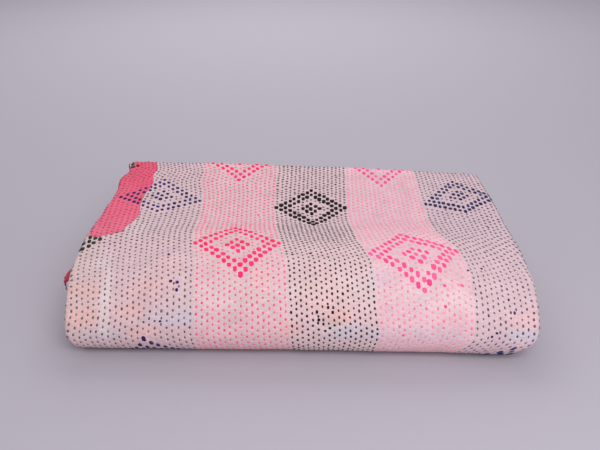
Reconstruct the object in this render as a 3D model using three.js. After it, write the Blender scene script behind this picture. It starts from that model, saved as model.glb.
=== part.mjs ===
import * as THREE from 'three';

// Folded kantha quilt in millimetres, +Z up, with its big soft fold facing -Y.
// One sheet is folded in three across its width. The strip that this makes is then
// folded into six layers, so the pile is eighteen plies high.

// Driving sizes
const pileWidth = 426;
const pileDepth = 306;
const pileTop = 80;
const clothThickness = 3;
const plyPitch = (pileTop - clothThickness) / 17;
const layerPitch = 3 * plyPitch;
const middleHeight = pileTop / 2;
const halfThickness = clothThickness / 2;

// How far each hem stops short of the fold or edge beside it
const hemSetback = { bottomEnd: 9, insideEnd: 16, innerPlyRight: 1, outerPlyLeft: 9 };
const lowFoldSetback = 5;

// How square each fold is: 2 is round, more is boxier
const squareness = { frontUpper: 2.4, frontLower: 2.9, back: 2.2 };

// The front fold leans back as it rises, and eases off towards the back
const lean = { shift: 22, startsAt: 26, reach: 120 };

// Height of the pile at five places across, for each distance behind the front
const heightPlaces = [
  { column: 'leftEdge', x: -200 },
  { column: 'leftMiddle', x: -110 },
  { column: 'middle', x: 10 },
  { column: 'rightMiddle', x: 110 },
  { column: 'rightEdge', x: 200 },
];
const pileHeights = [
  { behind: 0, leftEdge: 62, leftMiddle: 72, middle: 78, rightMiddle: 74, rightEdge: 58 },
  { behind: 48, leftEdge: 64, leftMiddle: 75, middle: 80, rightMiddle: 77, rightEdge: 60 },
  { behind: 78, leftEdge: 66, leftMiddle: 76, middle: 80, rightMiddle: 78, rightEdge: 63 },
  { behind: 125, leftEdge: 69, leftMiddle: 71, middle: 72, rightMiddle: 73, rightEdge: 67 },
  { behind: 170, leftEdge: 72, leftMiddle: 67, middle: 63, rightMiddle: 66, rightEdge: 70 },
  { behind: 228, leftEdge: 75, leftMiddle: 71, middle: 69, rightMiddle: 70, rightEdge: 74 },
  { behind: 306, leftEdge: 81, leftMiddle: 82, middle: 78, rightMiddle: 77, rightEdge: 75 },
];

// How far the two side edges stand from the middle line
const sideReach = [
  { behind: 0, left: 212, right: 216 },
  { behind: 70, left: 217, right: 217 },
  { behind: 110, left: 218, right: 213 },
  { behind: 150, left: 216, right: 210 },
  { behind: 190, left: 213, right: 208 },
  { behind: 225, left: 211, right: 205 },
  { behind: 250, left: 214, right: 203 },
  { behind: 275, left: 207, right: 202 },
  { behind: 306, left: 207, right: 200 },
];

// Each layer, from the lowest up, lies a little in from the pile's side edges
const layerInset = [
  { left: 2, right: 4 },
  { left: 5, right: 1 },
  { left: 1, right: 5 },
  { left: 5, right: 2 },
  { left: 2, right: 3 },
  { left: 0, right: 0 },
];

// Near the front, the left edge of the layer under the top one has slipped out
const slippedEdge = { layer: 4, shift: 12, behind: 60, reach: 44 };

// The lower front corners draw in under the pile, and the back right corner comes forward
const cornerTuck = { left: 8, right: 25, leftRise: 34, rightRise: 44, reach: 120 };
const backSkew = { shift: 14, from: 20, spread: 200, startsAt: 120, reach: 186 };

// How finely the solid is divided
const runStations = [62, 94, 132, 178, 222, 250, 276];
const acrossStations = [-178, -133, -88, -42, 10, 60, 110, 155];
const steps = { frontFold: 8, backFold: 4, rightFold: 4, leftFold: 3 };

function ease(share) {
  const kept = Math.min(Math.max(share, 0), 1);
  return kept * kept * (3 - 2 * kept);
}

// Smooth curve through a column of a table, by distance behind the front
function tableAt(table, column, behind) {
  const kept = Math.min(Math.max(behind, table[0].behind), table.at(-1).behind);
  let row = 0;
  while (row < table.length - 2 && kept > table[row + 1].behind) row += 1;
  const low = table[row];
  const high = table[row + 1];
  const span = high.behind - low.behind;
  const share = (kept - low.behind) / span;
  const slopeAt = (index) => {
    if (index === 0 || index === table.length - 1) return 0;
    const before = table[index - 1];
    const after = table[index + 1];
    return (after[column] - before[column]) / (after.behind - before.behind);
  };
  const square = share * share;
  const cube = square * share;
  return (
    (2 * cube - 3 * square + 1) * low[column] +
    (cube - 2 * square + share) * span * slopeAt(row) +
    (3 * square - 2 * cube) * high[column] +
    (cube - square) * span * slopeAt(row + 1)
  );
}

function heightAt(x, behind) {
  const kept = Math.min(Math.max(x, heightPlaces[0].x), heightPlaces.at(-1).x);
  let place = 0;
  while (place < heightPlaces.length - 2 && kept > heightPlaces[place + 1].x) place += 1;
  const left = heightPlaces[place];
  const right = heightPlaces[place + 1];
  const share = ease((kept - left.x) / (right.x - left.x));
  const leftHeight = tableAt(pileHeights, left.column, behind);
  const rightHeight = tableAt(pileHeights, right.column, behind);
  return leftHeight + (rightHeight - leftHeight) * share;
}

// Turns a point of the even pile into its place in the soft, uneven one
function settle(x, y, z, inset) {
  const rise = Math.max(z - lean.startsAt, 0) / (pileTop - lean.startsAt);
  const front = y + pileDepth / 2;
  const leaned = front + lean.shift * rise * rise * ease(1 - front / lean.reach);
  const tuckEase = ease(1 - leaned / cornerTuck.reach);
  const leftTuck = cornerTuck.left * ease(1 - z / cornerTuck.leftRise) * tuckEase;
  const rightTuck = cornerTuck.right * ease(1 - z / cornerTuck.rightRise) ** 1.5 * tuckEase;
  const slip = inset.slip * ease(1 - Math.abs(leaned - slippedEdge.behind) / slippedEdge.reach);
  const reach = x < 0
    ? tableAt(sideReach, 'left', leaned) - leftTuck - inset.left + slip
    : tableAt(sideReach, 'right', leaned) - rightTuck - inset.right;
  const settledX = (x * reach) / (pileWidth / 2);
  const settledZ = (z * heightAt(settledX, leaned)) / pileTop;
  const rightShare = ease((settledX - backSkew.from) / backSkew.spread);
  const backShare = ease((leaned - backSkew.startsAt) / backSkew.reach);
  const settledY = leaned - pileDepth / 2 - backSkew.shift * rightShare * backShare;
  return [settledX, settledY, settledZ];
}

// Unit point on a boxy curve, by angle above the middle
function boxyTurn(angle, power) {
  const out = Math.cos(angle);
  const up = Math.sin(angle);
  const length = (Math.abs(out) ** power + Math.abs(up) ** power) ** (1 / power);
  return { out: out / length, up: up / length };
}

// The strip's route through the pile, seen from the side
const foldReach = 2.5 * plyPitch + halfThickness;
const frontCentre = -pileDepth / 2 + middleHeight;
const topFoldCentre = pileDepth / 2 - foldReach;
const lowFoldCentre = topFoldCentre - lowFoldSetback;

function layerHeight(layer) {
  return middleHeight + (layer - 2.5) * layerPitch;
}

// A layer's own inset, or a mix of two on the fold between them
function insetBetween(from, to, share) {
  const slipOf = (layer) => (layer === slippedEdge.layer ? slippedEdge.shift : 0);
  const mix = (start, end) => start + (end - start) * share;
  return {
    left: mix(layerInset[from].left, layerInset[to].left),
    right: mix(layerInset[from].right, layerInset[to].right),
    slip: mix(slipOf(from), slipOf(to)),
  };
}

function run(layer, from, to) {
  const backwards = to > from;
  const inner = runStations.map((behind) => behind - pileDepth / 2);
  const low = Math.min(from, to);
  const high = Math.max(from, to);
  const stops = [low, ...inner.filter((y) => y > low + 6 && y < high - 6), high];
  if (!backwards) stops.reverse();
  const faceUp = backwards ? 1 : -1;
  return stops.map((y) => ({
    returns: !backwards,
    inset: insetBetween(layer, layer, 0),
    at: (offset) => ({ y, z: layerHeight(layer) + faceUp * offset }),
  }));
}

function frontTurn(from, to) {
  const startsLow = from < to;
  const radius = (Math.abs(to - from) * layerPitch) / 2;
  const faceOut = startsLow ? 1 : -1;
  const places = [];
  for (let step = 1; step < steps.frontFold; step += 1) {
    const climb = (step / steps.frontFold - 0.5) * Math.PI;
    const angle = startsLow ? climb : -climb;
    const power = angle < 0 ? squareness.frontLower : squareness.frontUpper;
    const { out, up } = boxyTurn(angle, power);
    places.push({
      returns: !startsLow,
      inset: insetBetween(from, to, step / steps.frontFold),
      at: (offset) => ({
        y: frontCentre - (radius + faceOut * offset) * out,
        z: middleHeight + (radius + faceOut * offset) * up,
      }),
    });
  }
  return places;
}

function backTurn(from, to, centre) {
  const startsLow = from < to;
  const radius = layerPitch / 2;
  const height = (layerHeight(from) + layerHeight(to)) / 2;
  const faceOut = startsLow ? -1 : 1;
  const places = [];
  for (let step = 1; step < steps.backFold; step += 1) {
    const climb = (step / steps.backFold - 0.5) * Math.PI;
    const angle = startsLow ? climb : -climb;
    const { out, up } = boxyTurn(angle, squareness.back);
    places.push({
      returns: !startsLow,
      inset: insetBetween(from, to, step / steps.backFold),
      at: (offset) => ({
        y: centre + (radius + faceOut * offset) * out,
        z: height + (radius + faceOut * offset) * up,
      }),
    });
  }
  return places;
}

const route = [
  ...run(0, pileDepth / 2 - hemSetback.bottomEnd, frontCentre),
  ...frontTurn(0, 5),
  ...run(5, frontCentre, topFoldCentre),
  ...backTurn(5, 4, topFoldCentre),
  ...run(4, topFoldCentre, frontCentre),
  ...frontTurn(4, 1),
  ...run(1, frontCentre, lowFoldCentre),
  ...backTurn(1, 2, lowFoldCentre),
  ...run(2, lowFoldCentre, frontCentre),
  ...frontTurn(2, 3),
  ...run(3, frontCentre, pileDepth / 2 - hemSetback.insideEnd),
];

// The strip's three plies, seen from the front: middle ply, face ply, under ply
const rightFold = { x: pileWidth / 2 - plyPitch - halfThickness, radius: plyPitch };
const leftFold = { x: -pileWidth / 2 + plyPitch / 2 + halfThickness, radius: plyPitch / 2 };

function flatPly(from, to, offset, face) {
  const low = Math.min(from, to);
  const high = Math.max(from, to);
  const stops = [low, ...acrossStations.filter((x) => x > low + 6 && x < high - 6), high];
  if (to < from) stops.reverse();
  return stops.map((x) => ({ x, offset, faceX: 0, faceOut: face }));
}

function sideFold(fold, side, middleOffset, stepCount, opens) {
  const places = [];
  for (let step = 1; step < stepCount; step += 1) {
    const turned = (step / stepCount) * Math.PI;
    const angle = opens ? Math.PI - turned : turned;
    places.push({
      x: fold.x + side * fold.radius * Math.sin(angle),
      offset: middleOffset + fold.radius * Math.cos(angle),
      faceX: side * Math.sin(angle),
      faceOut: Math.cos(angle),
    });
  }
  return places;
}

const section = [
  ...flatPly(rightFold.x - hemSetback.innerPlyRight, leftFold.x, 0, -1),
  ...sideFold(leftFold, -1, plyPitch / 2, steps.leftFold, true),
  ...flatPly(leftFold.x, rightFold.x, plyPitch, 1),
  ...sideFold(rightFold, 1, 0, steps.rightFold, false),
  ...flatPly(rightFold.x, -pileWidth / 2 + hemSetback.outerPlyLeft, -plyPitch, -1),
];

// One closed sheet: both faces of the cloth, and the hem that joins them all round
function foldedSheet() {
  const positions = [];
  const triangles = [];
  const columns = section.length;
  const faceSize = route.length * columns;
  for (const lift of [halfThickness, -halfThickness]) {
    for (const place of route) {
      for (const ply of section) {
        const { y, z } = place.at(ply.offset + lift * ply.faceOut);
        positions.push(...settle(ply.x + lift * ply.faceX, y, z, place.inset));
      }
    }
  }
  const addQuad = (a, b, c, d, mirrored = false) => {
    if (mirrored) triangles.push(a, b, d, b, c, d);
    else triangles.push(a, b, c, a, c, d);
  };
  for (let row = 0; row < route.length - 1; row += 1) {
    for (let column = 0; column < columns - 1; column += 1) {
      // Each ply is split along the same diagonal as its neighbours, so they stay apart
      const mirrored = route[row].returns !== section[column].faceOut < 0;
      const corner = row * columns + column;
      const next = corner + columns;
      const under = faceSize + corner;
      const underNext = faceSize + next;
      addQuad(corner, corner + 1, next + 1, next, mirrored);
      addQuad(under, underNext, underNext + 1, under + 1, mirrored);
    }
  }
  const joinFaces = (from, to) => addQuad(from, faceSize + from, faceSize + to, to);
  const lastRow = (route.length - 1) * columns;
  for (let column = 0; column < columns - 1; column += 1) {
    joinFaces(column, column + 1);
    joinFaces(lastRow + column + 1, lastRow + column);
  }
  for (let row = 0; row < route.length - 1; row += 1) {
    const left = row * columns;
    const right = left + columns - 1;
    joinFaces(left + columns, left);
    joinFaces(right, right + columns);
  }
  const geometry = new THREE.BufferGeometry();
  geometry.setAttribute('position', new THREE.Float32BufferAttribute(positions, 3));
  geometry.setIndex(triangles);
  geometry.computeVertexNormals();
  return geometry;
}

const cotton = new THREE.MeshStandardMaterial({ color: '#dcc3c9', roughness: 0.95, metalness: 0 });
const quilt = new THREE.Mesh(foldedSheet(), cotton);
quilt.name = 'quilt';

// The origin is under the middle of the pile
quilt.geometry.computeBoundingBox();
const middle = quilt.geometry.boundingBox.getCenter(new THREE.Vector3());
quilt.position.set(-middle.x, -middle.y, 0);

const part = new THREE.Group();
part.add(quilt);

export default part;
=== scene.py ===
import random
from math import ceil, cos, pi, radians, sin

import bmesh
import bpy
import numpy as np
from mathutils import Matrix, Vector, noise


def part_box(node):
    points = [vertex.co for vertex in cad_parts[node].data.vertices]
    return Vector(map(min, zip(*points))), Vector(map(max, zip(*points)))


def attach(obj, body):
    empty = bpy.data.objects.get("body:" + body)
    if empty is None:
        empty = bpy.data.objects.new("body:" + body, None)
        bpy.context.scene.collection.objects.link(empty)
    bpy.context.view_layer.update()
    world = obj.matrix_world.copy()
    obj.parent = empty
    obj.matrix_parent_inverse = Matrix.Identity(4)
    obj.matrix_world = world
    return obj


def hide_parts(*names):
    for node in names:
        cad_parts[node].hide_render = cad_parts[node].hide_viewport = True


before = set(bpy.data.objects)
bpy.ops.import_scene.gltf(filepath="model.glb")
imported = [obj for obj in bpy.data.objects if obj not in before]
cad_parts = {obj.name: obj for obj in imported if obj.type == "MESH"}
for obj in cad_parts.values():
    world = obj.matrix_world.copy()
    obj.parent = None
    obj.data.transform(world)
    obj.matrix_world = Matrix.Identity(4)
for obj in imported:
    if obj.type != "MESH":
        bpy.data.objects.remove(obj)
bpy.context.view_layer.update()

mm = 0.001


def putInScene(thing):
    bpy.context.scene.collection.objects.link(thing)


# Camera, first, at the height and tilt from which the photograph looks at the pile
camera = {
    "place": (23.6, -785.1, 429.0),   # mm from the middle of the pile's foot
    "pitchDown": 24.81, "turnLeft": 1.59,
    "lens": 50, "sensor": 36,
}
view = bpy.data.cameras.new("camera")
view.lens = camera["lens"]
view.sensor_width = camera["sensor"]
viewer = bpy.data.objects.new("camera", view)
viewer.location = [value * mm for value in camera["place"]]
viewer.rotation_euler = (radians(90 - camera["pitchDown"]), 0, radians(camera["turnLeft"]))
putInScene(viewer)
bpy.context.scene.camera = viewer
print("camera is set")

# The folded pile, in millimetres, with the same folds as its solid:
# one cloth folded in three across, then back and forth into six layers
pile = {
    "width": 426, "depth": 306, "top": 80, "cloth": 3,
    "plies": 18, "pliesInLayer": 3,
    "bottomEnd": 9, "insideEnd": 16, "innerPlyRight": 1, "outerPlyLeft": 9, "lowFoldIn": 5,
    "upperSquare": 2.4, "lowerSquare": 2.9, "backSquare": 2.2,
    "leanShift": 22, "leanFrom": 26, "leanReach": 120,
    "tuckLeft": 8, "tuckLeftRise": 34, "tuckReach": 120,
    "tuckRight": 25, "tuckRightRise": 44, "tuckRightCurve": 1.5,
    "skew": 14, "skewFrom": 20, "skewSpread": 200, "skewBehind": 120, "skewReach": 186,
    "slip": 12, "slippedLayer": 4, "slipBehind": 67, "slipReach": 46,
}
# Height of the pile, from the left edge to the right, at distances behind its front
heightPlaces = [-200, -110, 10, 110, 200]
heightBehind = [0, 48, 78, 125, 170, 228, 306]
heightRows = [
    (62, 72, 78, 74, 58),
    (64, 75, 80, 77, 60),
    (66, 76, 80, 78, 63),
    (69, 71, 72, 73, 67),
    (72, 67, 63, 66, 70),
    (75, 71, 69, 70, 74),
    (80, 79.5, 76.5, 75, 74),
]
# How far its two side edges stand from the middle line
reachBehind = [0, 70, 110, 150, 190, 225, 250, 275, 306]
reachLeft = [213.5, 218, 218.5, 216, 213, 211, 214, 208, 215]
reachRight = [214.5, 214, 212, 208.5, 206, 203.5, 201.5, 200.5, 199]
layerInset = [(2, 4), (5, 1), (1, 5), (5, 2), (2, 3), (0, 0)]   # each layer's left and right

half = pile["cloth"] / 2
plyPitch = (pile["top"] - pile["cloth"]) / (pile["plies"] - 1)
layerPitch = pile["pliesInLayer"] * plyPitch
midHeight = pile["top"] / 2
topLayer = pile["plies"] // pile["pliesInLayer"] - 1
frontCentre = -pile["depth"] / 2 + midHeight
backEnd = pile["depth"] / 2
topFoldCentre = backEnd - topLayer / 2 * plyPitch - half
lowFoldCentre = topFoldCentre - pile["lowFoldIn"]


def ease(share):
    share = min(max(share, 0.0), 1.0)
    return share * share * (3 - 2 * share)


# Which two places in a row are on either side, and the share of the way between them
def spanAt(places, here):
    here = min(max(here, places[0]), places[-1])
    k = 0
    while k < len(places) - 2 and here > places[k + 1]:
        k += 1
    return k, (here - places[k]) / (places[k + 1] - places[k])


# A smooth curve through the values
def smoothAt(places, values, here):
    k, t = spanAt(places, here)

    def slope(i):
        if i == 0 or i == len(places) - 1:
            return 0
        return (values[i + 1] - values[i - 1]) / (places[i + 1] - places[i - 1])

    rise = (2 * t**3 - 3 * t * t + 1) * values[k] + (3 * t * t - 2 * t**3) * values[k + 1]
    lead = (t**3 - 2 * t * t + t) * slope(k) + (t**3 - t * t) * slope(k + 1)
    return rise + (places[k + 1] - places[k]) * lead


heightColumns = [[row[k] for row in heightRows] for k in range(len(heightPlaces))]


def heightAt(x, behind):
    k, share = spanAt(heightPlaces, x)
    left = smoothAt(heightBehind, heightColumns[k], behind)
    right = smoothAt(heightBehind, heightColumns[k + 1], behind)
    return left + (right - left) * ease(share)


# From the squared-off pile to the settled one: leaning front, uneven sides, sunken middle
def settle(x, y, z, inset):
    rise = max(z - pile["leanFrom"], 0) / (pile["top"] - pile["leanFrom"])
    front = y + pile["depth"] / 2
    behind = front + pile["leanShift"] * rise * rise * ease(1 - front / pile["leanReach"])
    tuck = ease(1 - behind / pile["tuckReach"])
    if x < 0:
        slip = inset[2] * ease(1 - abs(behind - pile["slipBehind"]) / pile["slipReach"])
        under = pile["tuckLeft"] * ease(1 - z / pile["tuckLeftRise"]) * tuck
        reach = smoothAt(reachBehind, reachLeft, behind) - inset[0] + slip - under
    else:
        under = ease(1 - z / pile["tuckRightRise"]) ** pile["tuckRightCurve"]
        under *= pile["tuckRight"] * tuck
        reach = smoothAt(reachBehind, reachRight, behind) - inset[1] - under
    x = x * reach / (pile["width"] / 2)
    z = z * heightAt(x, behind) / pile["top"]
    skew = pile["skew"] * ease((x - pile["skewFrom"]) / pile["skewSpread"])
    skew *= ease((behind - pile["skewBehind"]) / pile["skewReach"])
    return x, behind - pile["depth"] / 2 - skew, z


def boxyTurn(angle, power):
    out, up = cos(angle), sin(angle)
    size = (abs(out) ** power + abs(up) ** power) ** (1 / power)
    return out / size, up / size


def layerHeight(layer):
    return midHeight + (layer - topLayer / 2) * layerPitch


# The way that the strip of three plies runs, from its end on the floor to its end inside
route = [
    ("run", 0, 0, backEnd - pile["bottomEnd"], frontCentre),
    ("front", 0, 5),
    ("run", 5, 5, frontCentre, topFoldCentre),
    ("back", 5, 4, topFoldCentre),
    ("run", 4, 4, topFoldCentre, frontCentre),
    ("front", 4, 1),
    ("run", 1, 1, frontCentre, lowFoldCentre),
    ("back", 1, 2, lowFoldCentre),
    ("run", 2, 2, lowFoldCentre, frontCentre),
    ("front", 2, 3),
    ("run", 3, 3, frontCentre, backEnd - pile["insideEnd"]),
]
squareTurnLength = 1.13   # a boxy front turn against a round one of the same radius


def legLength(leg):
    if leg[0] == "run":
        return abs(leg[4] - leg[3])
    radius = abs(leg[2] - leg[1]) * layerPitch / 2
    if leg[0] == "front" and leg[1] < leg[2]:
        radius += plyPitch
    return radius * pi * (squareTurnLength if leg[0] == "front" else 1)


legStarts = [0.0]
for leg in route:
    legStarts.append(legStarts[-1] + legLength(leg))
stripLength = legStarts[-1]


def insetBetween(a, b, share):
    slipped = pile["slippedLayer"]
    slip = pile["slip"] * ((a == slipped) * (1 - share) + (b == slipped) * share)
    left = layerInset[a][0] + (layerInset[b][0] - layerInset[a][0]) * share
    right = layerInset[a][1] + (layerInset[b][1] - layerInset[a][1]) * share
    return left, right, slip


def alongStrip(along, offset):
    k = 0
    while k < len(route) - 1 and along >= legStarts[k + 1]:
        k += 1
    leg = route[k]
    share = (along - legStarts[k]) / (legStarts[k + 1] - legStarts[k])
    inset = insetBetween(leg[1], leg[2], share)
    if leg[0] == "run":
        up = 1 if leg[4] > leg[3] else -1
        return leg[3] + (leg[4] - leg[3]) * share, layerHeight(leg[1]) + up * offset, inset
    climbs = leg[2] > leg[1]
    radius = abs(leg[2] - leg[1]) * layerPitch / 2
    centre = (layerHeight(leg[1]) + layerHeight(leg[2])) / 2
    angle = (share - 0.5) * pi * (1 if climbs else -1)
    if leg[0] == "front":
        out, up = boxyTurn(angle, pile["lowerSquare"] if angle < 0 else pile["upperSquare"])
        radius += offset if climbs else -offset
        return frontCentre - radius * out, centre + radius * up, inset
    out, up = boxyTurn(angle, pile["backSquare"])
    radius += -offset if climbs else offset
    return leg[3] + radius * out, centre + radius * up, inset


leftFoldAt = -pile["width"] / 2 + plyPitch / 2 + half
rightFoldAt = pile["width"] / 2 - plyPitch - half
leftTurn = pi * plyPitch / 2
rightTurn = pi * plyPitch
leftNose = leftFoldAt - leftTurn
rightNose = rightFoldAt + rightTurn
acrossEnd = rightNose + rightFoldAt + pile["width"] / 2 - pile["outerPlyLeft"]
acrossStart = leftNose - (rightFoldAt - pile["innerPlyRight"] - leftFoldAt)


def acrossStrip(across, lift):
    if across < leftNose:
        return leftFoldAt + leftNose - across, -lift
    if across < leftFoldAt:
        turn = (leftFoldAt - across) / (plyPitch / 2)
        radius = plyPitch / 2 + lift
        return leftFoldAt - radius * sin(turn), plyPitch / 2 + radius * cos(turn)
    if across <= rightFoldAt:
        return across, plyPitch + lift
    if across < rightNose:
        turn = (across - rightFoldAt) / plyPitch
        radius = plyPitch + lift
        return rightFoldAt + radius * sin(turn), radius * cos(turn)
    return rightFoldAt - (across - rightNose), -plyPitch - lift


# A point of the flat cloth, folded: across and along it, and lifted off its middle
def foldRaw(across, along, lift):
    x, offset = acrossStrip(across, lift)
    return settle(x, *alongStrip(along, offset))


# How far to move the pile to the middle of its solid's box
shiftTest = {
    "across": [leftFoldAt - leftTurn / 2, 0, 100, rightFoldAt, rightFoldAt + rightTurn / 2],
    "steps": 1200,
}


def measureShift():
    places = np.linspace(0, stripLength, shiftTest["steps"])
    points = np.array([foldRaw(x, along, half) for x in shiftTest["across"] for along in places])
    middle = (points.min(0) + points.max(0)) / 2
    solidLow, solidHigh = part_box("quilt")
    return [(solidLow[k] + solidHigh[k]) / 2 / mm - middle[k] for k in range(2)]


shiftX, shiftY = measureShift()
print("pile folds, its strip is", round(stripLength), "mm long")


def fold(across, along, lift):
    x, y, z = foldRaw(across, along, lift)
    return (x + shiftX) * mm, (y + shiftY) * mm, max(z, 0) * mm


# Bands of stitching run along the cloth, and wander a little from front to back
rows = {
    "columns": 17, "columnPitch": 5.05,
    "along": [260, 340, 385, 440, 480, 550, 650],
    "greenNavy": [-196, -184, -188, -192, -197, -206, -200],
    "navyPink": [-98, -96, -98, -104, -108, -113, -126],
    "pinkBlack": [-8, -11, -15, -22, -27, -34, -36],
    "blackPale": [79, 68, 64, 53, 50, 46, 48],
    "paleViolet": [155, 154, 153, 147, 133, 133, 133],
}
bandWidth = rows["columns"] * rows["columnPitch"]
# The bands' edges that show, and the bands from left to right
lineNames = ["greenNavy", "navyPink", "pinkBlack", "blackPale", "paleViolet"]
hiddenLeft = ["navy", "pink", "violet", "black", "pale"]
shownBands = ["green", "navy", "pink", "black", "pale", "violet"]
hiddenRight = ["green", "pink", "navy", "black", "pale"]
bandOrder = hiddenLeft + shownBands + hiddenRight


# The left edge of a band. Past those that show, the edges are at an even pitch
def bandLine(number, along):
    nearest = min(max(number, 1), len(lineNames))
    line = np.interp(along, rows["along"], rows[lineNames[nearest - 1]])
    return line + (number - nearest) * bandWidth


def bandsAt(across, along):
    number = np.full(len(across), -len(hiddenLeft))
    for k in range(1 - len(hiddenLeft), len(shownBands) + len(hiddenRight)):
        number[across >= bandLine(k, along)] = k
    return number


def bandPhase(number, across, along):
    phase = np.zeros(len(across))
    for k in range(-len(hiddenLeft), len(shownBands) + len(hiddenRight)):
        here = number == k
        left, right = bandLine(k, along[here]), bandLine(k + 1, along[here])
        phase[here] = (across[here] - left) / (right - left) * rows["columns"]
    return phase


def bandName(number):
    return bandOrder[number + len(hiddenLeft)]


# True length along the folded cloth, against its place in the strip
lengthAcross = [leftNose, leftFoldAt, -160, -100, -50, 10, 60, 110, 160, rightFoldAt, rightNose]
lengthAlong = np.linspace(0, stripLength, 601)
mainRun = 330         # where the true length counts from, on the front
lastStep = 1.001      # keeps a place at a table's end inside the last of its cells


def measureLengths():
    table = []
    for across in lengthAcross:
        points = np.array([fold(across, along, half) for along in lengthAlong]) / mm
        steps = np.linalg.norm(np.diff(points, axis=0), axis=1)
        length = np.concatenate([[0], np.cumsum(steps)])
        table.append(length - np.interp(mainRun, lengthAlong, length))
    return np.array(table)


lengthTable = measureLengths()
print("cloth lengths are measured")


def cellAt(place, places):
    cell = np.interp(place, places, np.arange(len(places)))
    cell = np.clip(cell, 0, len(places) - lastStep)
    whole = cell.astype(int)
    return whole, cell - whole


def lengthsAt(across, along):
    row, rowShare = cellAt(along, lengthAlong)
    column, columnShare = cellAt(across, lengthAcross)
    near = lengthTable[column, row] * (1 - rowShare) + lengthTable[column, row + 1] * rowShare
    column = column + 1
    far = lengthTable[column, row] * (1 - rowShare) + lengthTable[column, row + 1] * rowShare
    return near * (1 - columnShare) + far * columnShare


# Where the cloth shows, its outer face is finer and has its creases
shownPart = {"from": 236.0, "to": 672.0, "fade": 10.0}
relief = {
    "channel": 0.34,         # depth of the stitched channels
    "swell": 0.55, "swellSize": 46.0, "swellSeed": 7,
    "lumps": 0.22, "lumpSize": 15.0, "lumpSeed": 50,
    "endsPast": 0.3, "endsFade": 0.45,       # shares of a crease's length
}
# Soft ridges, or troughs where below 0: from across and along, to across and along,
# then height and width
creases = [
    (-190, 462, -30, 462, 4.2, 29), (60, 478, 125, 478, 2.4, 26), (150, 458, 205, 458, 2.2, 26),
    (-40, 592, -12, 588, -1.1, 5), (60, 548, 92, 520, -0.7, 6), (-90, 322, -52, 326, -0.6, 8),
]


def easeAll(share):
    share = np.clip(share, 0, 1)
    return share * share * (3 - 2 * share)


def noiseAt(across, along, size, seed):
    return np.array([noise.noise(Vector((x / size, q / size, seed)))
                     for x, q in zip(across, along)])


def creaseLift(across, along):
    lift = np.zeros(len(across))
    for x0, q0, x1, q1, height, wide in creases:
        lengthX, lengthQ = x1 - x0, q1 - q0
        share = ((across - x0) * lengthX + (along - q0) * lengthQ) / (lengthX**2 + lengthQ**2)
        inside = np.clip(share, 0, 1)
        away = np.hypot(across - x0 - inside * lengthX, along - q0 - inside * lengthQ) / wide
        past = np.minimum(share, 1 - share) + relief["endsPast"]
        ends = easeAll(past / relief["endsFade"])
        lift += height * np.exp(-away * away) * ends
    return lift


def surfaceLift(across, along):
    inShown = np.minimum(along - shownPart["from"], shownPart["to"] - along) / shownPart["fade"]
    phase = bandPhase(bandsAt(across, along), across, along)
    channel = -relief["channel"] / 2 * np.cos(2 * pi * (phase - 0.5))
    swell = relief["swell"] * noiseAt(across, along, relief["swellSize"], relief["swellSeed"])
    lumps = relief["lumps"] * noiseAt(across, along, relief["lumpSize"], relief["lumpSeed"])
    return easeAll(inShown) * (channel + swell + lumps + creaseLift(across, along))


def addPiece(name, mesh, material):
    piece = bpy.data.objects.new(name, mesh)
    mesh.materials.append(material)
    mesh.polygons.foreach_set("use_smooth", [True] * len(mesh.polygons))
    putInScene(piece)
    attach(piece, "root")
    return piece


def evenSteps(start, end, step):
    count = max(1, ceil(abs(end - start) / step))
    return [start + (end - start) * k / count for k in range(count)]


# The cloth: laid flat, thickened, made finer where it shows, then folded
cloth = {
    "runStep": 24.0, "shownStep": 12.6, "frontSteps": {0: 12.6, 4: 6.0, 2: 3.8}, "backStep": 2.7,
    "leftTurnStep": 1.4, "rightTurnStep": 1.8, "hiddenAcross": 15.5,
    "splits": 3, "wideCell": 3.0, "longCell": 8.0, "margin": 1, "level": 0.01,
    "edgeThin": 0.62,
}


def clothStations():
    across = evenSteps(acrossStart, leftNose, cloth["hiddenAcross"])
    across += evenSteps(leftNose, leftFoldAt, cloth["leftTurnStep"])
    across += evenSteps(leftFoldAt, rightFoldAt, rows["columnPitch"])
    across += evenSteps(rightFoldAt, rightNose, cloth["rightTurnStep"])
    across += evenSteps(rightNose, acrossEnd, cloth["hiddenAcross"]) + [acrossEnd]
    along = []
    for k, leg in enumerate(route):
        step = cloth["runStep"]
        if leg[0] == "front":
            step = cloth["frontSteps"][leg[1]]
        elif leg[0] == "back":
            step = cloth["backStep"]
        elif leg[1] == topLayer:
            step = cloth["shownStep"]
        along += evenSteps(legStarts[k], legStarts[k + 1], step)
    return across, along + [stripLength]


def finer(mesh, acrossWay):
    edges = []
    for edge in mesh.edges:
        a, b = (vert.co for vert in edge.verts)
        left, right = sorted((a.x, b.x))
        low, high = sorted((a.y, b.y))
        if a.z < 0 or b.z < 0 or low < shownPart["from"] or high > shownPart["to"]:
            continue
        if left < leftNose - cloth["margin"] or right > rightNose + cloth["margin"]:
            continue
        wide, long = right - left, high - low
        if acrossWay and long < cloth["level"] and wide > cloth["wideCell"]:
            edges.append(edge)
        if not acrossWay and wide < cloth["level"] and long > cloth["longCell"]:
            edges.append(edge)
    bmesh.ops.subdivide_edges(mesh, edges=edges, cuts=cloth["splits"], use_grid_fill=True)


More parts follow.
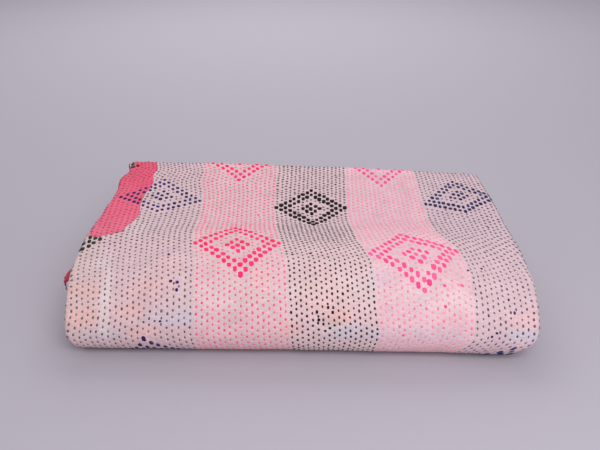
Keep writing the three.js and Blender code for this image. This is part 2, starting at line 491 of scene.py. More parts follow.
def makeCloth():
    acrossAt, alongAt = clothStations()
    mesh = bmesh.new()
    bmesh.ops.create_grid(mesh, x_segments=len(acrossAt) - 1, y_segments=len(alongAt) - 1, size=1)
    for vert in mesh.verts:
        column = round((vert.co.x + 1) / 2 * (len(acrossAt) - 1))
        row = round((vert.co.y + 1) / 2 * (len(alongAt) - 1))
        vert.co = (acrossAt[column], alongAt[row], half)
    bmesh.ops.solidify(mesh, geom=mesh.faces[:], thickness=pile["cloth"])
    for vert in mesh.verts:
        vert.co.z = half if vert.co.z > 0 else -half
    finer(mesh, True)
    finer(mesh, False)
    bmesh.ops.triangulate(mesh, faces=[face for face in mesh.faces if len(face.verts) > 4])
    return mesh


def finished(name, built):
    mesh = bpy.data.meshes.new(name)
    built.to_mesh(mesh)
    built.free()
    return mesh


def flatPoints(mesh):
    flat = np.zeros(len(mesh.vertices) * 3)
    mesh.vertices.foreach_get("co", flat)
    return flat.reshape(-1, 3)


def foldMesh(mesh, flat, lift):
    points = [fold(x, q, z) for x, q, z in zip(flat[:, 0], flat[:, 1], lift)]
    mesh.vertices.foreach_set("co", np.array(points).ravel())
    mesh.update()


# Each corner of a face knows its place on the flat cloth, and on the grid of stitches
def writePlaces(mesh, flat):
    corners = np.zeros(len(mesh.loops), int)
    mesh.loops.foreach_get("vertex_index", corners)
    counts = np.zeros(len(mesh.polygons), int)
    mesh.polygons.foreach_get("loop_total", counts)
    owner = np.repeat(np.arange(len(counts)), counts)
    across, along = flat[corners, 0], flat[corners, 1]
    middleX = np.bincount(owner, across) / counts
    middleQ = np.bincount(owner, along) / counts
    number = bandsAt(middleX, middleQ)[owner]
    pitch = np.array([stitches["pitch"][bandName(k)] for k in number])
    places = {
        "flatCloth": [(across - acrossStart) / (acrossEnd - acrossStart), along / stripLength],
        "stitchRows": [bandPhase(number, across, along) - 0.5, lengthsAt(across, along) / pitch],
    }
    for name, values in places.items():
        layer = mesh.uv_layers.new(name=name)
        layer.uv.foreach_set("vector", np.stack(values, 1).ravel().astype(np.float32))
    return corners, number


# A colour as a screen shows it, 0 to 255, as Blender's own light
def tone(red, green, blue):
    light = []
    for value in (red, green, blue):
        value /= 255
        light.append(value / 12.92 if value <= 0.04045 else ((value + 0.055) / 1.055) ** 2.4)
    return (*light, 1.0)


stitches = {
    "pitch": {"green": 6.3, "navy": 6.3, "pink": 6.6, "black": 5.9, "pale": 6.5, "violet": 6.4},
    "wide": {"green": 2.2, "navy": 2.1, "pink": 2.4, "black": 2.4, "pale": 2.4,
             "violet": 2.1, "patch": 2.1},
    "long": 3.4, "high": 1.2, "sunk": 0.12, "dip": 0.3, "cells": (6, 4), "heavyCells": (8, 6),
    # on the top, the stitches are shorter, wider and higher, and darker by painted shade
    "topFrom": 400, "topTo": 450, "topLong": 0.92, "topWide": 1.3, "topHigh": 1.45,
    "topShade": {"green": 0.3, "navy": 0.1, "pink": 0.1, "black": 0.0, "pale": 0.1,
                 "violet": 0.05, "patch": 0.6},
    # length, width and height of a diamond's heavy stitches, and of odd ones
    "heavy": (7.8, 4.4, 2.5), "stray": (3.3, 2.7, 1.4), "strayClear": 2.7,
    "heavyShare": {"green": 1.0, "navy": 0.86, "pink": 1.04, "black": 1.08, "pale": 1.06,
                   "violet": 0.92},
    "heavyClear": 0.62,      # no small stitch within this share of a heavy one's pitch
    "astray": 0.5, "ahead": 0.6, "uneven": 0.2,
    "slopeOver": 2,          # how far behind and ahead a stitch takes its direction from
}
# Each thread's darkest and lightest colour
threads = {
    "green": (tone(66, 68, 68), tone(126, 120, 116)),
    "navy": (tone(72, 48, 80), tone(146, 108, 124)),
    "pink": (tone(246, 58, 120), tone(255, 122, 160)),
    "black": (tone(22, 12, 18), tone(92, 46, 54)),
    "pale": (tone(252, 112, 158), tone(255, 172, 196)),
    "violet": (tone(70, 50, 96), tone(140, 104, 126)),
    "patch": (tone(132, 40, 76), tone(210, 72, 106)),
}
heavyThreads = {
    "green": (tone(20, 40, 32), tone(44, 62, 50)),
    "navy": (tone(30, 26, 82), tone(56, 48, 108)),
    "pink": (tone(255, 34, 104), tone(255, 62, 124)),
    "black": (tone(6, 5, 9), tone(30, 24, 28)),
    "pale": (tone(254, 66, 136), tone(255, 104, 160)),
    "violet": (tone(24, 30, 78), tone(50, 54, 104)),
}
grounds = {
    "green": tone(221, 192, 194), "navy": tone(224, 194, 198), "pink": tone(230, 195, 199),
    "black": tone(226, 196, 199), "pale": tone(234, 196, 203), "violet": tone(221, 192, 198),
}

# Soft stains on the cloth, then painted shade that darkens the top: middle across and along, half
# width and half length, strength
stainsAndShade = {
    "peach": (tone(250, 186, 178), [
        (-197, 362, 15, 9, 0.42), (-197, 338, 16, 12, 0.48), (-137, 360, 20, 9, 0.35),
        (-153, 341, 13, 8, 0.45), (-143, 319, 16, 8, 0.4), (-37, 362, 8, 12, 0.4),
        (22, 350, 24, 14, 0.35), (34, 332, 12, 8, 0.45), (200, 343, 17, 10, 0.24),
        (-121, 385, 14, 12, 0.25), (-10, 320, 12, 8, 0.3),
    ]),
    "blue": (tone(198, 202, 216), [
        (-113, 334, 24, 9, 0.45), (48, 318, 28, 9, 0.55), (114, 318, 36, 8, 0.36),
        (202, 326, 20, 9, 0.5), (-179, 316, 20, 8, 0.4), (70, 366, 12, 8, 0.35),
    ]),
    "sand": (tone(200, 186, 176), [
        (-41, 346, 17, 6, 0.4), (-65, 335, 13, 9, 0.3), (30, 328, 9, 5, 0.5),
        (6, 359, 8, 7, 0.35), (-63, 440, 34, 20, 0.25), (-150, 330, 12, 8, 0.2),
    ]),
    "white": (tone(232, 220, 218), [
        (-177, 350, 5, 42, 0.65), (-184, 408, 8, 18, 0.5), (-166, 487, 12, 26, 0.4),
        (60, 300, 60, 6, 0.25), (-62, 352, 50, 11, 0.3), (34, 354, 46, 10, 0.32),
        (120, 352, 46, 9, 0.34),
    ]),
    # Painted shade, not stains: these darken the top, which takes less light than the front
    "shade": (tone(206, 180, 188), [
        (-150, 560, 60, 90, 0.4), (-60, 570, 44, 90, 0.35), (10, 560, 44, 90, 0.5),
        (8, 468, 40, 34, 0.4), (90, 560, 44, 90, 0.4), (175, 560, 50, 90, 0.55),
        (190, 630, 40, 26, 0.4),
    ]),
}
# Where a stain or a spot of painted shade ends, in its own half sizes, and how its strength is
# broken up
stainAndShadeSpread = {"end": 1.5, "least": 0.01, "middle": 0.85, "range": 0.5, "size": 16, "seed": 3}


def writeColours(mesh, name, colours):
    layer = mesh.color_attributes.new(name, "FLOAT_COLOR", "CORNER")
    layer.data.foreach_set("color", colours.ravel().astype(np.float32))


# The ground's colour, with its stains and the painted shade on the top, and the stitches that are
# only painted, out of sight
def paintGround(mesh, flat, corners, number):
    names = [bandName(k) for k in number]
    colours = np.array([grounds[name] for name in names])
    for colour, spots in stainsAndShade.values():
        share = np.zeros(len(flat))
        for across, along, wide, long, strength in spots:
            away = np.hypot((flat[:, 0] - across) / wide, (flat[:, 1] - along) / long)
            share = np.maximum(share, strength * easeAll(stainAndShadeSpread["end"] - away))
        near = share > stainAndShadeSpread["least"]
        broken = noiseAt(flat[near, 0], flat[near, 1], stainAndShadeSpread["size"], stainAndShadeSpread["seed"])
        share[near] *= stainAndShadeSpread["middle"] + stainAndShadeSpread["range"] * broken
        share = share[corners][:, None]
        colours = colours * (1 - share) + np.array(colour) * share
    writeColours(mesh, "ground", colours)
    painted = np.array([threads[name][0] for name in names])
    shown = (flat[:, 1] > shownPart["from"]) & (flat[:, 1] < shownPart["to"])
    shown &= (flat[:, 0] > leftNose) & (flat[:, 0] < rightNose) & (flat[:, 2] > 0)
    painted[:, 3] = np.where(shown, 0, 1)[corners]
    writeColours(mesh, "paintedStitch", painted)


# Shader helpers
def addNode(tree, kind, values=None, **settings):
    node = tree.nodes.new("ShaderNode" + kind)
    for name, value in settings.items():
        setattr(node, name, value)
    for name, value in (values or {}).items():
        node.inputs[name].default_value = value
    return node


def feed(tree, value, socket):
    if isinstance(value, bpy.types.NodeSocket):
        tree.links.new(value, socket)
    else:
        socket.default_value = value


def newGroup(name, inputs, outputs):
    tree = bpy.data.node_groups.new(name, "ShaderNodeTree")
    for label, kind in inputs:
        tree.interface.new_socket(label, in_out="INPUT", socket_type="NodeSocket" + kind)
    for label, kind in outputs:
        tree.interface.new_socket(label, in_out="OUTPUT", socket_type="NodeSocket" + kind)
    start, end = tree.nodes.new("NodeGroupInput"), tree.nodes.new("NodeGroupOutput")
    return tree, start.outputs, end.inputs


def useGroup(tree, group, **values):
    node = tree.nodes.new("ShaderNodeGroup")
    node.node_tree = group
    for name, value in values.items():
        feed(tree, value, node.inputs[name])
    return node.outputs


def maths(tree, operation, *values):
    node = addNode(tree, "Math", operation=operation)
    for k, value in enumerate(values):
        feed(tree, value, node.inputs[k])
    return node.outputs[0]


def times(tree, first, second):
    return maths(tree, "MULTIPLY", first, second)


def split(tree, vector):
    node = addNode(tree, "SeparateXYZ")
    tree.links.new(vector, node.inputs[0])
    return node.outputs[0], node.outputs[1]


def vectorMaths(tree, operation, vector, socket, value):
    node = addNode(tree, "VectorMath", operation=operation)
    tree.links.new(vector, node.inputs[0])
    feed(tree, value, node.inputs[socket])
    return node.outputs[0]


def mixed(tree, share, first, second):
    node = addNode(tree, "Mix", data_type="RGBA")
    for socket, value in (("Factor", share), (6, first), (7, second)):
        feed(tree, value, node.inputs[socket])
    return node.outputs[2]


def noiseIn(tree, place, scale, detail, roughness=0.5):
    values = {"Scale": scale, "Detail": detail, "Roughness": roughness}
    node = addNode(tree, "TexNoise", values)
    tree.links.new(place, node.inputs["Vector"])
    return node.outputs["Fac"]


# A value spread over another range. Most of a noise lies from 0.3 to 0.7
def ranged(tree, value, low, high, fromLow=0.3, fromHigh=0.7):
    values = {"From Min": fromLow, "From Max": fromHigh, "To Min": low, "To Max": high}
    node = addNode(tree, "MapRange", values)
    tree.links.new(value, node.inputs["Value"])
    return node.outputs[0]


# A wave of rounded tops, one for each whole number
def tops(tree, value):
    return maths(tree, "ABSOLUTE", maths(tree, "SINE", times(tree, value, pi)))


fabric = {
    "warps": 2300, "wefts": 3300,     # threads in the whole cloth
    "weaveHigh": 0.05, "puckerHigh": 0.3, "crumpleHigh": 0.35,
    "dotWide": 0.19, "dotLong": 0.22, "dotEdge": 0.35,
    "stretch": (1.0, 1.42, 1.0),      # the cloth's length against its width
    "slubAcross": 0.05, "slubAlong": 0.42,
    # scale, detail and roughness of its noises, then how they lighten or darken it
    "flecks": (620.0, 2.0, 0.7), "patches": (60.0, 3.0, 0.55), "crumple": (170.0, 3.0, 0.6),
    "fleckTone": (0.89, 1.07), "patchTone": (0.93, 1.05), "slubTone": (0.92, 1.06),
    "sheenRoughness": 0.5, "specular": 0.25,
}
white = (1, 1, 1, 1)
# Roughness, sheen and the sheen's tint
finishes = {
    "cotton": (0.92, 0.12, (1, 0.96, 0.97, 1)), "patch": (0.9, 0.15, (1, 0.9, 0.9, 1)),
    "thread": (0.72, 0.2, white), "heavyThread": (0.95, 0.02, white), "paper": (0.95, 0, white),
}


# Plain weave: warp and weft pass over each other, in threads of uneven thickness
def makeWeave():
    tree, start, end = newGroup(
        "plainWeave", [("Place", "Vector"), ("Warps", "Float"), ("Wefts", "Float")],
        [("Height", "Float"), ("Tone", "Float")])
    x, y = split(tree, start["Place"])
    x = times(tree, x, start["Warps"])
    y = times(tree, y, start["Wefts"])
    over = maths(tree, "ADD", maths(tree, "FLOOR", x), maths(tree, "FLOOR", y))
    over = maths(tree, "FLOORED_MODULO", over, 2)
    warp = times(tree, tops(tree, x), over)
    weft = times(tree, tops(tree, y), maths(tree, "SUBTRACT", 1, over))
    tree.links.new(maths(tree, "ADD", warp, weft), end["Height"])
    spread = addNode(tree, "CombineXYZ")
    tree.links.new(times(tree, x, fabric["slubAcross"]), spread.inputs[0])
    tree.links.new(times(tree, y, fabric["slubAlong"]), spread.inputs[1])
    tree.links.new(noiseIn(tree, spread.outputs[0], 1.0, 2.0), end["Tone"])
    return tree


# The cloth puckers round each stitch: drawn down where the thread lies over it
def makePucker():
    tree, start, end = newGroup("stitchPucker", [("Rows", "Vector")], [("Height", "Float")])
    x, y = split(tree, start["Rows"])
    u = maths(tree, "COSINE", times(tree, x, pi))
    v = maths(tree, "COSINE", times(tree, y, 2 * pi))
    tree.links.new(times(tree, times(tree, u, v), -1), end["Height"])
    return tree


# Twisted thread: strands wind round it, with painted shade: the colour is lighter on their tops
# and darker in the grooves between
spin = {"turns": 5.0, "strands": 3, "high": 0.12, "light": 0.2}


def makeTwist():
    tree, start, end = newGroup(
        "threadTwist", [("Place", "Vector"), ("Turns", "Float")], [("Height", "Float")])
    x, y = split(tree, start["Place"])
    wound = times(tree, y, start["Turns"])
    wound = maths(tree, "ADD", wound, times(tree, x, spin["strands"]))
    tree.links.new(tops(tree, wound), end["Height"])
    return tree


# Old cotton is uneven: small flecks, and soft patches that are a little darker
def makeWear():
    tree, start, end = newGroup("oldCotton", [("Place", "Vector")], [("Tone", "Float")])
    place = vectorMaths(tree, "MULTIPLY", start["Place"], 1, fabric["stretch"])
    flecks = ranged(tree, noiseIn(tree, place, *fabric["flecks"]), *fabric["fleckTone"])
    patches = ranged(tree, noiseIn(tree, place, *fabric["patches"]), *fabric["patchTone"])
    tree.links.new(times(tree, flecks, patches), end["Tone"])
    return tree


weave, pucker, twist, wear = makeWeave(), makePucker(), makeTwist(), makeWear()


def newMaterial(name, finish):
    roughness, sheen, sheenTint = finishes[finish]
    material = bpy.data.materials.new(name)
    material.use_nodes = True
    shader = material.node_tree.nodes["Principled BSDF"].inputs
    shader["Roughness"].default_value = roughness
    shader["Sheen Weight"].default_value = sheen
    shader["Sheen Roughness"].default_value = fabric["sheenRoughness"]
    shader["Sheen Tint"].default_value = sheenTint
    shader["Specular IOR Level"].default_value = fabric["specular"]
    return material, shader


def bumpFrom(tree, shader, height):
    bump = addNode(tree, "Bump", {"Strength": 1.0, "Distance": mm})
    tree.links.new(height, bump.inputs["Height"])
    tree.links.new(bump.outputs[0], shader["Normal"])


# Woven, crumpled and puckered cloth, still without its colour
def newCloth(name, finish):
    material, shader = newMaterial(name, finish)
    tree = material.node_tree
    place = addNode(tree, "UVMap", uv_map="flatCloth").outputs[0]
    stitchRows = addNode(tree, "UVMap", uv_map="stitchRows").outputs[0]
    woven = useGroup(tree, weave, Place=place, Warps=fabric["warps"], Wefts=fabric["wefts"])
    drawn = useGroup(tree, pucker, Rows=stitchRows)["Height"]
    stretched = vectorMaths(tree, "MULTIPLY", place, 1, fabric["stretch"])
    crumple = noiseIn(tree, stretched, *fabric["crumple"])
    height = times(tree, woven["Height"], fabric["weaveHigh"])
    height = maths(tree, "MULTIPLY_ADD", crumple, fabric["crumpleHigh"], height)
    height = maths(tree, "MULTIPLY_ADD", drawn, fabric["puckerHigh"] / 2, height)
    bumpFrom(tree, shader, height)
    found = {"place": place, "rows": stitchRows, "slubs": woven["Tone"],
             "wear": useGroup(tree, wear, Place=place)["Tone"]}
    return material, shader, found


# Ovals of the thread's colour, one in each cell of the grid of stitches
def paintedDots(tree, stitchRows):
    x, y = split(tree, stitchRows)
    column = maths(tree, "ROUND", x)
    odd = times(tree, maths(tree, "FLOORED_MODULO", column, 2), 0.5)
    y = maths(tree, "ADD", y, odd)
    away = []
    for place, whole, size in ((x, column, "dotWide"), (y, maths(tree, "ROUND", y), "dotLong")):
        off = maths(tree, "DIVIDE", maths(tree, "SUBTRACT", place, whole), fabric[size])
        away.append(maths(tree, "POWER", off, 2))
    edge = fabric["dotEdge"]
    return ranged(tree, maths(tree, "ADD", *away), 0, 1, 1 + edge, 1 - edge)


def makeCotton():
    material, shader, found = newCloth("kanthaCotton", "cotton")
    tree = material.node_tree
    ground = addNode(tree, "Attribute", attribute_name="ground").outputs["Color"]
    painted = addNode(tree, "Attribute", attribute_name="paintedStitch").outputs
    slubs = ranged(tree, found["slubs"], *fabric["slubTone"])
    spun = times(tree, slubs, found["wear"])
    spun = vectorMaths(tree, "SCALE", ground, "Scale", spun)
    share = times(tree, paintedDots(tree, found["rows"]), painted["Alpha"])
    tree.links.new(mixed(tree, share, spun, painted["Color"]), shader["Base Color"])
    return material


# The worn colour's share where a patch has worn, and where it is whole
fading = {"worn": 0.55, "whole": -0.2, "slubs": 0.2}


def makePatchCotton(name, look):
    material, shader, found = newCloth(name, "patch")
    tree = material.node_tree
    wornAt, wholeAt = (along / stripLength for along in look["fadesOver"])
    along = split(tree, found["place"])[1]
    share = ranged(tree, along, fading["worn"], fading["whole"], wornAt, wholeAt)
    slubs = maths(tree, "SUBTRACT", found["slubs"], fading["slubs"])
    colours = mixed(tree, maths(tree, "ADD", share, slubs), *look["tones"])
    toned = vectorMaths(tree, "SCALE", colours, "Scale", found["wear"])
    tree.links.new(toned, shader["Base Color"])
    return material


def makeThread(name, finish, dark, light):
    material, shader = newMaterial(name, finish)
    tree = material.node_tree
    shade = addNode(tree, "Attribute", attribute_name="shade").outputs["Fac"]
    windings = addNode(tree, "UVMap", uv_map="windings").outputs[0]
    wound = useGroup(tree, twist, Place=windings, Turns=spin["turns"])["Height"]
    bumpFrom(tree, shader, times(tree, wound, spin["high"]))
    # Painted shade: lighter where the strands rise, darker between them
    level = maths(tree, "MULTIPLY_ADD", wound, spin["light"], shade)
    tree.links.new(mixed(tree, level, dark, light), shader["Base Color"])
    return material


cotton = makeCotton()
print("cotton is woven")

quiltMesh = finished("foldedQuilt", makeCloth())
flat = flatPoints(quiltMesh)
outer = flat[:, 2] > 0
lift = flat[:, 2].copy()
rim = np.zeros(len(flat), bool)
for k, start, end in ((0, acrossStart, acrossEnd), (1, 0, stripLength)):
    rim |= (flat[:, k] < start + cloth["margin"]) | (flat[:, k] > end - cloth["margin"])
lift[rim] *= cloth["edgeThin"]
lift[outer] += surfaceLift(flat[outer, 0], flat[outer, 1])
paintGround(quiltMesh, flat, *writePlaces(quiltMesh, flat))
foldMesh(quiltMesh, flat, lift)
quilt = addPiece("foldedQuilt", quiltMesh, cotton)
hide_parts("quilt")
print("cloth folded:", len(quiltMesh.polygons), "faces")


# One stitch: an oval of thread along Y, a little square at its shoulders
def stitchShape(around, rings):
    shape = bmesh.new()
    shape.loops.layers.uv.new("windings")
    bmesh.ops.create_uvsphere(shape, u_segments=around, v_segments=rings, radius=1, calc_uvs=True)
    for vert in shape.verts:
        x, y, z = vert.co
        fuller = 1 + (1 - abs(z)) * abs(z)
        vert.co = (x * fuller, z, y * fuller)
    bmesh.ops.recalc_face_normals(shape, faces=shape.faces[:])
    return finished("stitch", shape)


def repeated(shape, count):
    holder = bpy.data.objects.new("stitches", shape)
    putInScene(holder)
    array = holder.modifiers.new("copies", "ARRAY")
    array.count = count
    array.use_relative_offset = False
    made = holder.evaluated_get(bpy.context.evaluated_depsgraph_get())
    mesh = bpy.data.meshes.new_from_object(made)
    bpy.data.objects.remove(holder)
    return mesh


# A piece of many stitches, each folded into its place on the cloth
def sewn(name, places, shape, material, topShade=1):
    mesh = repeated(shape, len(places))
    mesh.name = name
    one = np.array([vert.co[:] for vert in shape.vertices])
    points = []
    for across, along, slant, perLength, lift, size in places:
        long, wide, high = size
        for x, y, z in one:
            t = y * long / 2
            up = z * high / 2 - stitches["dip"] * y * y * high
            sideways = x * wide / 2 + slant * t
            points.append(fold(across + sideways, along + t * perLength, lift + up))
    mesh.vertices.foreach_set("co", np.array(points).ravel())
    # Each stitch's tone at random, darkened on the top by painted shade
    shades = np.array([dice.random() for place in places])
    shades *= 1 + (topShade - 1) * onTopShare([place[1] for place in places])
    layer = mesh.attributes.new("shade", "FLOAT", "POINT")
    layer.data.foreach_set("value", np.repeat(shades, len(one)).astype(np.float32))
    mesh.update()
    return addPiece(name, mesh, material)


# Diamonds, each in a band: true lengths of its left, right, near and far tips from mainRun
diamonds = [
    ("navy", 211, 218, 186, 260), ("black", 211, 213, 172, 251), ("violet", 216, 221, 192, 267),
    ("pink", 96, 94, 44, 138), ("pale", 75, 92, 30, 122),
    ("pink", 322, 326, 270, 376), ("pale", 325, 320, 263, 385),
    ("green", 114, 114, 71, 138), ("green", 295, 295, 262, 330),
    ("navy", -75, -52, -115, -17), ("violet", -88, -75, -130, -18),
]
# Odd stitches in a heavier thread: places across and along the cloth
strays = {
    "navy": [(-118, 363), (-112, 362), (-112, 356), (-126, 330), (-123, 403)],
    "black": [(24, 341), (14, 337), (28, 337), (16, 330), (20, 326), (30, 325), (26, 322),
              (22, 319), (-9, 395), (7, 397)],
    "pale": [(126, 543), (128, 346), (144, 365), (128, 362), (92, 317)],
    "violet": [(166, 399), (152, 386), (192, 501), (203, 588), (207, 580), (210, 572),
               (206, 565), (211, 585), (204, 573), (186, 361), (190, 350), (174, 328),
               (170, 323)],
    "pink": [(-107, 565), (-50, 533)],
}
chart = {"reach": 8, "innerReach": 2}     # half a diamond's width, in columns


# A diamond's stitches in one column, in rows from its middle: two outlines and an eye
def chartRows(column):
    reach = (chart["reach"] - abs(column)) / 2
    found = {reach, -reach, reach - 1, 1 - reach}
    if reach < 1:
        found = {reach, -reach}
    inner = (chart["innerReach"] - abs(column)) / 2
    if inner >= 0:
        found |= {inner, -inner, 0.0} if column == 0 else {inner, -inner}
    return sorted(found)


# Where one column of stitches runs: its place across, and true length, all along the strip
def columnRun(band, column):
    left, right = bandLine(band, lengthAlong), bandLine(band + 1, lengthAlong)
    across = left + (right - left) * (column + 0.5) / rows["columns"]
    return across, lengthsAt(across, lengthAlong)


def onRun(run, length):
    across, lengths = run
    along = np.interp(length, lengths, lengthAlong)
    return float(np.interp(along, lengthAlong, across)), float(along)


def stitchOn(run, length, size):
    across, along = onRun(run, length)
    over = stitches["slopeOver"]
    ahead, behind = onRun(run, length + over), onRun(run, length - over)
    slant, perLength = ((ahead[k] - behind[k]) / (2 * over) for k in range(2))
    return [across, along, slant, perLength, half, size]


# Stitches are sewn over the shown part, and on along the folds at its two sides
sewnPart = {
    "from": shownPart["from"] + 6, "to": shownPart["to"],
    "left": leftNose - 0.5, "right": rightNose + 0.5,
    "leftFold": leftFoldAt + 3, "rightFold": rightFoldAt - 2,
}


def showsAt(across, along):
    if not sewnPart["left"] < across < sewnPart["right"] or along < sewnPart["from"]:
        return False
    onFolds = across < sewnPart["leftFold"] or across > sewnPart["rightFold"]
    return along < sewnPart["to"] or onFolds


# The coral patch on the far left corner: its right, near and left edges
patch = {
    "rightAt": [474, 481, 492, 500, 509, 521, 537, 554, 570, 586, 598, 619, 632, 647, 700],
    "right": [-177, -179, -177, -175, -173, -173.5, -177, -179, -179.5, -176, -173, -180, -180,
              -180, -179],
    "nearAt": [-228, -214, -209, -201, -197, -185, -177],
    "near": [475, 471, 468, 463, 466, 470, 474],
    "leftAt": [474, 622, 642, 700], "left": [-228, -228, -206, -206], "farEnd": 700,
    "thick": 0.4, "clear": 0.12, "cells": (22, 76),
    "frayHigh": 0.5, "fraySize": 5, "fraySeed": 2,
    # its colour, its worn colour, and the places along the cloth between which it is worn less
    "tones": (tone(236, 76, 112), tone(240, 112, 142)), "fadesOver": (470, 610),
}
# The end of another patch, further on along the same edge, in a deep red that is partly painted
# shade, for the shadow at the pile's side where it shows
crimson = {
    "left": -232, "right": -203, "from": 846, "to": 912, "cells": (18, 16),
    "tones": (tone(160, 4, 46), tone(190, 20, 66)), "fadesOver": (900, 940),
}


def onPatch(across, along):
    if crimson["from"] < along < crimson["to"]:
        return across < crimson["right"]
    if along > patch["farEnd"]:
        return False
    near = np.interp(across, patch["nearAt"], patch["near"])
    left = np.interp(along, patch["leftAt"], patch["left"])
    return along > near and left < across < np.interp(along, patch["rightAt"], patch["right"])


dice = random.Random(11)


def uneven(size, scale=1.0):
    share = stitches["uneven"]
    return tuple(value * scale * dice.uniform(1 - share, 1 + share) for value in size)


def onTopShare(along):
    return np.interp(along, [stitches["topFrom"], stitches["topTo"]], [0, 1])


def runningSize(kind, along):
    share = onTopShare(along)
    long = stitches["long"] * (1 + (stitches["topLong"] - 1) * share)
    wide = stitches["wide"][kind] * (1 + (stitches["topWide"] - 1) * share)
    return long, wide, stitches["high"] * (1 + (stitches["topHigh"] - 1) * share)


def atStray(found, places):
    clear = stitches["strayClear"]
    return any(abs(found[0] - across) < clear and abs(found[1] - along) < clear
               for across, along in places)


# A stitch near its place in a column
def placed(run, length, size):
    found = stitchOn(run, length, size)
    found[0] += dice.uniform(-1, 1) * stitches["astray"]
    return found, showsAt(found[0], found[1])


# One column's heavy stitches, and the lengths that they take from its running ones
def heavyColumn(name, column, run):
    sewnHere, taken = [], []
    c = column - chart["reach"]
    for where, left, right, near, far in diamonds:
        if where != name:
            continue
        middle, pitch = (near + far) / 2, (far - near) / chart["reach"]
        middle += ((left if c < 0 else right) - middle) * abs(c) / chart["reach"]
        for v in chartRows(c):
            length = middle + v * pitch + dice.uniform(-1, 1) * stitches["ahead"]
            size = uneven(stitches["heavy"], stitches["heavyShare"][name])
            found, shows = placed(run, length, size)
            taken.append((length, pitch * stitches["heavyClear"]))
            if shows:
                sewnHere.append(found)
    return sewnHere, taken


def setStitches():
    running = {name: [] for name in threads}
    heavy = {name: [] for name in heavyThreads}
    for band, name in enumerate(shownBands):
        pitch = stitches["pitch"][name]
        for column in range(rows["columns"]):
            run = columnRun(band, column)
            sewnHere, taken = heavyColumn(name, column, run)
            heavy[name] += sewnHere
            odd = 0.5 * (column % 2)
            for k in range(int(run[1][0] / pitch), int(run[1][-1] / pitch)):
                length = (k + odd) * pitch
                if any(abs(length - place) < clear for place, clear in taken):
                    continue
                length += dice.uniform(-1, 1) * stitches["ahead"]
                found, shows = placed(run, length, None)
                if not shows:
                    continue
                kind = "patch" if onPatch(found[0], found[1]) else name
                found[5] = uneven(runningSize(kind, found[1]))
                running[kind].append(found)
    for name, places in strays.items():
        heavy[name] += [[across, along, 0, 1, half, uneven(stitches["stray"])]
                        for across, along in places]
        running[name] = [found for found in running[name] if not atStray(found, places)]
    return running, heavy


# Each stitch lies on the swells of the cloth, or on the patch that covers it
def settleStitches(found, onTop):
    across = np.array([place[0] for place in found])
    along = np.array([place[1] for place in found])
    lift = surfaceLift(across, along)
    for place, extra in zip(found, lift):
        raised = patch["thick"] + patch["clear"] if onTop or onPatch(place[0], place[1]) else 0
        place[4] += extra + raised - stitches["sunk"]


smallShape, heavyShape = stitchShape(*stitches["cells"]), stitchShape(*stitches["heavyCells"])
running, heavy = setStitches()
for name, found in running.items():
    settleStitches(found, name == "patch")
    thread = makeThread(name + "Thread", "thread", *threads[name])
    topShade = stitches["topShade"][name]
    sewn(name + "Stitches", found, smallShape, thread, topShade)
for name, found in heavy.items():
    settleStitches(found, False)
    thread = makeThread(name + "HeavyThread", "heavyThread", *heavyThreads[name])
    sewn(name + "Diamonds", found, heavyShape, thread)


# A patch is a thin piece of cloth sewn down, with its raw edge a little uneven
def makePatch(name, material, outline, cells):
    mesh = bmesh.new()
    bmesh.ops.create_grid(mesh, x_segments=cells[0], y_segments=cells[1], size=1)
    for vert in mesh.verts:
        across, along = outline((vert.co.x + 1) / 2, (vert.co.y + 1) / 2)
        vert.co = (across, along, half + patch["clear"] + patch["thick"])
    bmesh.ops.solidify(mesh, geom=mesh.faces[:], thickness=patch["thick"])
    mesh = finished(name, mesh)
    flat = flatPoints(mesh)
    writePlaces(mesh, flat)
    foldMesh(mesh, flat, flat[:, 2] + surfaceLift(flat[:, 0], flat[:, 1]))
    return addPiece(name, mesh, material)


def coralOutline(u, v):
    guess = patch["left"][0] + u * (patch["right"][0] - patch["left"][0])
    near = np.interp(guess, patch["nearAt"], patch["near"])
    along = near + v * (patch["farEnd"] - near)
    right = np.interp(along, patch["rightAt"], patch["right"])
    fray = Vector((along / patch["fraySize"], 0, patch["fraySeed"]))
    right += patch["frayHigh"] * noise.noise(fray)
    left = np.interp(along, patch["leftAt"], patch["left"])
    return left + u * (right - left), along


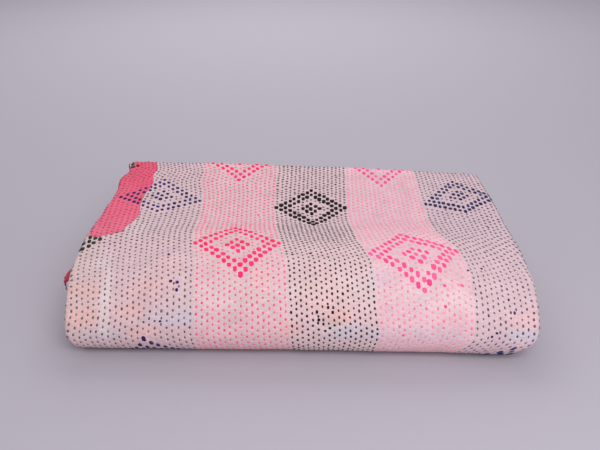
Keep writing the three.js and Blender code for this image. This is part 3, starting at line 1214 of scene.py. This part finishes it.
def crimsonOutline(u, v):
    along = crimson["from"] + v * (crimson["to"] - crimson["from"])
    return crimson["left"] + u * (crimson["right"] - crimson["left"]), along


coralCotton = makePatchCotton("coralCotton", patch)
# The crimson's darkness is partly painted shade
crimsonShadedCotton = makePatchCotton("crimsonShadedCotton", crimson)
coralPatch = makePatch("coralPatch", coralCotton, coralOutline, patch["cells"])
crimsonShadedPatch = makePatch("crimsonShadedPatch", crimsonShadedCotton, crimsonOutline, crimson["cells"])
print("patches are sewn on")

# A plain pale floor, a hair below the pile
floor = {"size": 9.0, "low": -0.0004, "tone": tone(182, 177, 187)}
floorMesh = bmesh.new()
bmesh.ops.create_grid(floorMesh, x_segments=1, y_segments=1, size=floor["size"] / 2)
bmesh.ops.translate(floorMesh, verts=floorMesh.verts[:], vec=(0, 0, floor["low"]))
plane = finished("floor", floorMesh)
floorPiece = bpy.data.objects.new("floor", plane)
putInScene(floorPiece)
paper, shader = newMaterial("floorPaper", "paper")
shader["Base Color"].default_value = floor["tone"]
plane.materials.append(paper)

# Soft light: a broad lamp behind, a brighter one in front, and pale air all round
lamps = {
    "behind": {"place": (-0.1, 1.35, 1.15), "size": 1.3, "power": 12.0, "aim": (-0.03, 0.6, 0)},
    "front": {"place": (0.35, -1.12, 0.9), "size": 0.9, "power": 4.1, "aim": (0.12, -0.2, 0),
              "spread": 1.7},
}
for name, lamp in lamps.items():
    data = bpy.data.lights.new(name, "AREA")
    data.shape = "SQUARE"
    data.size = lamp["size"]
    data.energy = lamp["power"]
    data.spread = lamp.get("spread", pi)
    source = bpy.data.objects.new(name, data)
    source.location = lamp["place"]
    towards = Vector(lamp["aim"]) - Vector(lamp["place"])
    source.rotation_euler = towards.to_track_quat("-Z", "Y").to_euler()
    putInScene(source)
air = {"tone": tone(250, 246, 252), "strength": 0.5}
world = bpy.data.worlds.new("air")
world.use_nodes = True
background = world.node_tree.nodes["Background"].inputs
background[0].default_value = air["tone"]
background[1].default_value = air["strength"]
bpy.context.scene.world = world
bpy.context.scene.view_settings.view_transform = "Standard"
